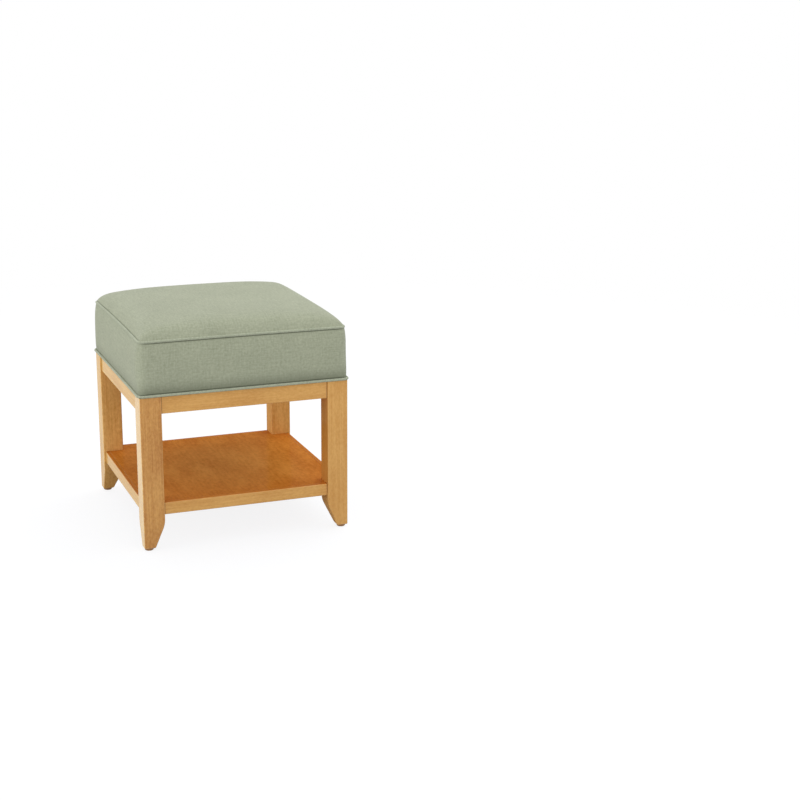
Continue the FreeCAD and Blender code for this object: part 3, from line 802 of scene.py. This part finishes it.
def swell(maker, sewn, pressure):
    """Lets the filling press the cover out between its seams, and returns the points that it reaches."""
    maker.vertex_groups.new(name="sewn").add(sewn.tolist(), 1.0, "REPLACE")
    cloth = maker.modifiers.new("Swell", "CLOTH")
    for key, value in SWELL_CLOTH.items():
        setattr(cloth.settings, key, value)
    cloth.settings.uniform_pressure_force = pressure
    cloth.settings.effector_weights.gravity = 0.0
    cloth.collision_settings.use_collision = False
    for step in range(1, SWELL_FRAMES + 1):
        bpy.context.scene.frame_set(step)
    graph = bpy.context.evaluated_depsgraph_get()
    reached = values_of(maker.evaluated_get(graph).data.vertices, "co", 3, np.float32).astype(float)
    maker.modifiers.remove(cloth)
    bpy.context.scene.frame_set(1)
    return reached


def eased_moves(move, mesh, sewn):
    """Moves of the cover's points, each averaged with its neighbours, with the sewn points left still."""
    ends = edge_ends(mesh)
    neighbours = np.bincount(ends.ravel(), minlength=len(move))[:, None]
    for _ in range(SMOOTH_ROUNDS):
        total = np.zeros_like(move)
        np.add.at(total, ends[:, 0], move[ends[:, 1]])
        np.add.at(total, ends[:, 1], move[ends[:, 0]])
        move = (move + total / neighbours) / 2
        move[sewn] = 0.0
    return move


def held_to(limit, move):
    """The moves, none of them longer than the limit."""
    size = np.linalg.norm(move, axis=1, keepdims=True)
    return move * np.minimum(1.0, limit / np.maximum(size, 1e-9))


def pull_corner_seams(points, cover, depth):
    """Draws the upright corner seams in, between the lower seam and the top one."""
    for corner in range(4):
        line = cover.wall_index[2:-1, corner * PANEL_STEPS]
        inward = -points[line] * np.array([1.0, 1.0, 0.0])
        inward /= np.linalg.norm(inward, axis=1, keepdims=True)
        points[line] += inward * depth
    return points


def seam_path(cover, ring, stand, tuck, name):
    """The closed line that a cord follows: a seam of the cover, moved out from it, less so at its corners."""
    points = cover.walls[ring]
    tangent = np.roll(points, -1, axis=0) - np.roll(points, 1, axis=0)
    outward = np.stack([tangent[:, 1], -tangent[:, 0], np.zeros(len(points))], axis=1)
    outward /= np.linalg.norm(outward, axis=1, keepdims=True)
    placed = points + outward * (stand - tuck * cover.round_panel(cover.corner_share))[:, None]
    count = len(points)
    mesh = bpy.data.meshes.new(name)
    mesh.from_pydata(placed.tolist(), [(i, (i + 1) % count) for i in range(count)], [])
    return mesh


def welt_tree():
    """Geometry nodes that lay a slightly uneven round cord, with its flat map, along a closed line."""
    takes = {"Path": "Geometry", "Diameter": "Float", "Sides": "Int", "Spacing": "Float",
             "Unevenness": "Float", "Material": "Material"}
    tree, taken, given = new_group("Welt Cord", takes, {"Cord": "Geometry"}, "GeometryNodeTree")

    def step(kind, inputs=None, output=0, **settings):
        return wire(tree, "GeometryNode" + kind, inputs, output, **settings)

    def kept(geometry, name, value, kind="FLOAT", domain="POINT"):
        inputs = {"Geometry": geometry, "Name": name, "Value": value}
        return step("StoreNamedAttribute", inputs, data_type=kind, domain=domain)

    line = step("MeshToCurve", {"Mesh": taken["Path"]})
    line = step("ResampleCurve", {"Curve": line, "Length": taken["Spacing"]}, mode="LENGTH")
    line = step("SetCurveNormal", {"Curve": line}, mode="Z_UP")
    line = kept(line, "cord_along", step("SplineParameter", output="Length"))
    circle = {"Resolution": taken["Sides"], "Radius": taken["Diameter"] * 0.5}
    ring = step("CurvePrimitiveCircle", circle, "Curve", mode="RADIUS")
    around = step("SplineParameter", output="Factor") * (taken["Diameter"] * math.pi)
    ring = kept(ring, "cord_around", around)
    cord = step("CurveToMesh", {"Curve": line, "Profile Curve": ring})
    lumps = wire(tree, "ShaderNodeTexNoise", {"Scale": 95.0, "Detail": 2.0})
    push = scaled(step("InputNormal"), (lumps - 0.5) * taken["Unevenness"])
    cord = step("SetPosition", {"Geometry": cord, "Offset": push})
    names = enumerate(("cord_along", "cord_around"))
    flat = {axis: step("InputNamedAttribute", {"Name": name}, data_type="FLOAT") for axis, name in names}
    cord = kept(cord, "UVMap", wire(tree, "ShaderNodeCombineXYZ", flat), "FLOAT2", "CORNER")
    cord = kept(cord, "seam_near", 1.0)
    cord = step("RealizeInstances", {"Geometry": cord})
    feed(given, {"Cord": step("SetMaterial", {"Geometry": cord, "Material": taken["Material"]})})
    return tree


def run_tree(name, mesh, tree, values):
    """A geometry node tree's plain mesh, made from a starting mesh and named input values."""
    maker = new_object(name, mesh)
    modifier = maker.modifiers.new(name, "NODES")
    modifier.node_group = tree
    for item in tree.interface.items_tree:
        if item.in_out == "INPUT" and item.name in values:
            modifier[item.identifier] = values[item.name]
    return plain_mesh(maker)


class OTTOMAN_OT_seat_cushion(bpy.types.Operator):
    """Cuts the seat's cover, swells it on its filling and draws in its corner seams"""
    bl_idname = "ottoman.seat_cushion"
    bl_label = "Seat Cushion"

    def execute(self, context):
        seat = context.scene.ottoman_seat
        cover = Cover(seat)
        maker = new_object("seat_cover", cover_mesh(cover))
        points = cover.points()
        sewn = cover.sewn_points()
        move = held_to(seat.swell_limit, swell(maker, sewn, seat.swell_pressure) - points)
        points = points + eased_moves(move, maker.data, sewn)
        points = pull_corner_seams(points, cover, seat.corner_seam_depth)
        maker.data.vertices.foreach_set("co", points.astype(np.float32).ravel())
        maker.data.update()
        smooth = maker.modifiers.new("Smooth", "SUBSURF")
        smooth.levels = smooth.render_levels = 1
        fabric = new_material("sage_linen", linen, seat, seat.linen_light, UPRIGHT)
        cushion = new_piece("seat_cushion", plain_mesh(maker), fabric)
        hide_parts("cover_top", "foam_core", "crown_pad", *["boxing_" + side for side in SIDES])
        return {"FINISHED"}


class OTTOMAN_OT_welts(bpy.types.Operator):
    """Lays the fabric-covered cords along the top and lower seams"""
    bl_idname = "ottoman.welts"
    bl_label = "Welts"

    def execute(self, context):
        seat = context.scene.ottoman_seat
        cover = Cover(seat)
        tree = welt_tree()
        # The cords' paler threads paint a highlight along them
        fabric = new_material("sage_linen_bias", linen, seat, seat.welt_highlight, BIAS)
        values = {"Diameter": WELT_DIAMETER, "Sides": WELT_SIDES, "Spacing": CORD_SPACING,
                  "Unevenness": CORD_UNEVENNESS, "Material": fabric}
        stand = WELT_DIAMETER / 2 - seat.welt_bite
        cords = (("welt_top", "top_welt", -1, stand, seat.cord_tuck),
                 ("welt_bottom", "bottom_welt", 0, 0.75 * seat.foot_tuck + stand, 0.0))
        for name, node, ring, out, tuck in cords:
            mesh = run_tree(name, seam_path(cover, ring, out, tuck, name), tree, values)
            cord = new_piece(name, mesh, fabric)
            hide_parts(node)
        return {"FINISHED"}


class OTTOMAN_OT_dust_cover(bpy.types.Operator):
    """Stretches the dark cloth under the seat, with a slight sag inside the frame"""
    bl_idname = "ottoman.dust_cover"
    bl_label = "Dust Cover"

    def execute(self, context):
        seat = context.scene.ottoman_seat
        side = np.linspace(-1.0, 1.0, DUST_STEPS + 1)
        across, along = np.meshgrid(side, side)
        x, y = across * DUST_HIGH.x, along * DUST_HIGH.y
        hang = np.prod([np.clip(1.0 - (axis / FRAME_OPENING) ** 2, 0.0, 1.0) for axis in (x, y)], axis=0)
        ripple = 1.0 + 0.18 * np.sin(31.0 * x + 17.0 * y) * np.sin(23.0 * y - 9.0 * x)
        z = DUST_HIGH.z - seat.dust_sag * ripple * hang ** 1.5
        quads = quads_of(np.arange(x.size).reshape(x.shape))
        mesh = bpy.data.meshes.new("dust_cover_cloth")
        mesh.from_pydata(np.stack([x, y, z], axis=2).reshape(-1, 3).tolist(), [], quads.tolist())
        maker = new_object("dust_cover_cloth", mesh)
        wall = maker.modifiers.new("Thickness", "SOLIDIFY")
        wall.thickness = DUST_HIGH.z - DUST_LOW.z
        wall.offset = -1.0
        fabric = new_material("dust_cloth", dust_cloth, tuple(seat.dust_colour))
        cloth = new_piece("dust_cover_cloth", plain_mesh(maker), fabric)
        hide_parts("dust_cover")
        return {"FINISHED"}


class OTTOMAN_OT_wood(bpy.types.Operator):
    """Stains and lacquers the legs, rails, edge strips and shelf"""
    bl_idname = "ottoman.wood"
    bl_label = "Wood"

    def execute(self, context):
        wood = context.scene.ottoman_wood
        light, dark = tuple(wood.honey_light), tuple(wood.honey_dark)

        def honey(name, rotation, wood_look=RAIL_LOOK, top_tint=PLAIN, joint_dark=JOINT_SHADE):
            # The tones are painted light and shade of this leg or rail
            tone, side_painted_tone, inner_painted_tone, gloss, strength = wood_look
            figure = {"Streaks": 0.5 * strength, "Mottling": 0.9 * strength, "Fineness": 1.0}
            return new_material(
                name, maple, toned(light, tone), toned(dark, tone), rotation, wood.lacquer_roughness,
                (INNER_COAT, gloss), wood.edge_wear, figure, side_painted_tone / tone, inner_painted_tone / tone,
                top_tint=top_tint, joint_dark=joint_dark)

        for corner in CORNERS:
            leg = honey("honey_maple_" + corner, UPRIGHT, LEG_LOOKS[corner], joint_dark=0.0)
            paint_node("leg_" + corner, leg)
        # The edge strips' tops take the shelf's colour at its rim, painted shade included
        shelf_rim = toned(wood.veneer_light, SHELF_RIM_SHADE)
        shelf_tint = tuple(there / here for there, here in zip(shelf_rim[:3], light))
        for way, rotation, sides in (("sideways", SIDEWAYS, SIDES[:2]), ("deep", DEEP, SIDES[2:])):
            rail = honey("honey_maple_" + way, rotation)
            strip = honey("honey_strip_" + way, rotation, top_tint=shelf_tint)
            for side in sides:
                paint_node("apron_" + side, rail)
                paint_node("shelf_lipping_" + side, strip)
        # The shelf darkens towards its rim: painted shade
        shelf = new_material(
            "shelf_veneer", maple, tuple(wood.veneer_light), tuple(wood.veneer_dark), DEEP,
            wood.shelf_roughness, SHELF_COATS, 0.2 * wood.edge_wear, SHELF_FIGURE, burst_tone=SHELF_RIM_SHADE)
        paint_node("shelf_panel", shelf)
        return {"FINISHED"}


class OTTOMAN_OT_fittings(bpy.types.Operator):
    """Finishes the braces, dowels, deck, screws, nails and glides"""
    bl_idname = "ottoman.fittings"
    bl_label = "Fittings"

    def execute(self, context):
        brace = new_material("poplar_brace", raw_wood, (0.66, 0.53, 0.33, 1.0), (0.47, 0.36, 0.20, 1.0))
        beech = new_material("beech_dowel", raw_wood, (0.70, 0.48, 0.29, 1.0), (0.52, 0.32, 0.17, 1.0))
        steel = new_material("zinc_steel", zinc_steel)
        plastic = new_material("glide_plastic", glide_plastic)
        for corner in CORNERS:
            paint_node("corner_block_" + corner, brace)
            paint_node("glide_" + corner, plastic)
        for name in ("apron_dowels", "shelf_dowels"):
            paint_node(name, beech)
        for name in ("corner_block_screws", "seat_screws", "glide_nails"):
            paint_node(name, steel)
        paint_node("seat_deck", new_material("deck_plywood", plywood))
        return {"FINISHED"}


# The studio

def seen_share(tree):
    """1 for what the camera and reflections see, and 0 for the light that falls on the object."""
    path = tree.nodes.new("ShaderNodeLightPath")
    camera, glossy, clear = (Wire(path, "Is %s Ray" % ray) for ray in ("Camera", "Glossy", "Transmission"))
    return camera.higher(glossy.higher(clear))


def pale_floor(tree, radius):
    """Pale floor that fades out into the white surround, and isn't there from below."""
    away = wire(tree, "ShaderNodeVectorMath", {0: object_places(tree)}, "Value", operation="LENGTH")
    fade = between(away, *(part * radius for part in FLOOR_FADE), 1.0, 0.0)
    below = wire(tree, "ShaderNodeNewGeometry", output="Backfacing")
    seen = seen_share(tree)
    return {"Base Color": mixed(seen, (0.42, 0.42, 0.43, 1.0), (0.17, 0.17, 0.18, 1.0)),
            "Emission Strength": seen * FLOOR_GLOW, "Emission Color": (0.985, 0.992, 1.0, 1.0),
            "Alpha": fade * (1.0 - below), "Roughness": 0.9, "Specular IOR Level": 0.1}


def studio_floor(radius):
    mesh = bpy.data.meshes.new("studio_floor")
    rim = [(radius * math.cos(turn), radius * math.sin(turn), 0.0)
           for turn in np.linspace(0.0, 2 * math.pi, FLOOR_SIDES, endpoint=False)]
    mesh.from_pydata(rim, [], [list(range(len(rim)))])
    mesh.materials.append(new_material("studio_floor", pale_floor, radius))
    floor = new_object("studio_floor", mesh)


def white_world(room_light):
    """A white surround for the camera and for reflections, and an even room light for the rest."""
    world = bpy.data.worlds.new("white_surround")
    world.use_nodes = True
    strength = seen_share(world.node_tree) * (1.0 - room_light) + room_light
    feed(world.node_tree.nodes["Background"], {"Color": (1.0, 1.0, 1.0, 1.0), "Strength": strength})
    bpy.context.scene.world = world


def softbox(name, place, width, depth, strength):
    """A large rectangular lamp that faces the ottoman."""
    lamp = bpy.data.lights.new(name, "AREA")
    lamp.shape = "RECTANGLE"
    lamp.size, lamp.size_y = width, depth
    lamp.energy = strength
    holder = new_object(name, lamp)
    holder.location = place
    holder.rotation_euler = (Vector(LAMP_AIM) - Vector(place)).to_track_quat("-Z", "Y").to_euler()


def studio_camera(stage):
    camera = bpy.data.cameras.new("studio_camera")
    camera.lens = stage.camera_lens
    camera.sensor_width = 36.0
    holder = new_object("studio_camera", camera)
    turn = (Matrix.Rotation(-stage.camera_heading, 4, "Z")
            @ Matrix.Rotation(math.pi / 2 - stage.camera_tilt, 4, "X")
            @ Matrix.Rotation(stage.camera_roll, 4, "Z"))
    holder.matrix_world = Matrix.Translation(stage.camera_place) @ turn
    bpy.context.scene.camera = holder


class OTTOMAN_OT_stage(bpy.types.Operator):
    """Sets the floor, the white surround, the lamps and the camera"""
    bl_idname = "ottoman.stage"
    bl_label = "Stage"

    def execute(self, context):
        stage = context.scene.ottoman_stage
        context.scene.view_settings.view_transform = "Standard"
        studio_floor(stage.floor_radius)
        white_world(stage.room_light)
        softbox("top_lamp", (1.3, 0.6, 2.6), 2.2, 2.2, stage.top_power)
        softbox("side_lamp", (-2.6, -0.1, 0.55), 1.8, 1.0, stage.side_power)
        softbox("fill_lamp", (0.2, -3.2, 1.2), 2.0, 2.0, stage.fill_power)
        studio_camera(stage)
        return {"FINISHED"}


class OTTOMAN_PT_sidebar(bpy.types.Panel):
    """Settings and steps of the ottoman"""
    bl_label = "Ottoman"
    bl_space_type = "VIEW_3D"
    bl_region_type = "UI"
    bl_category = "Ottoman"

    def draw(self, context):
        for operator in OPERATORS:
            self.layout.operator(operator.bl_idname)
        for group, kind in GROUPS.items():
            box = self.layout.box()
            for name in kind.__annotations__:
                box.prop(getattr(context.scene, group), name)


OPERATORS = (OTTOMAN_OT_seat_cushion, OTTOMAN_OT_welts, OTTOMAN_OT_dust_cover, OTTOMAN_OT_wood,
             OTTOMAN_OT_fittings, OTTOMAN_OT_stage)
GROUPS = {"ottoman_seat": OttomanSeat, "ottoman_wood": OttomanWood, "ottoman_stage": OttomanStage}


def register():
    for name, group in GROUPS.items():
        bpy.utils.register_class(group)
        setattr(bpy.types.Scene, name, PointerProperty(type=group))
    for shown in (*OPERATORS, OTTOMAN_PT_sidebar):
        bpy.utils.register_class(shown)


def unregister():
    for shown in (OTTOMAN_PT_sidebar, *reversed(OPERATORS)):
        bpy.utils.unregister_class(shown)
    for name, group in GROUPS.items():
        delattr(bpy.types.Scene, name)
        bpy.utils.unregister_class(group)


def main():
    register()
    bpy.ops.ottoman.seat_cushion()
    bpy.ops.ottoman.welts()
    bpy.ops.ottoman.dust_cover()
    bpy.ops.ottoman.wood()
    bpy.ops.ottoman.fittings()
    bpy.ops.ottoman.stage()


if __name__ == "__main__":
    main()
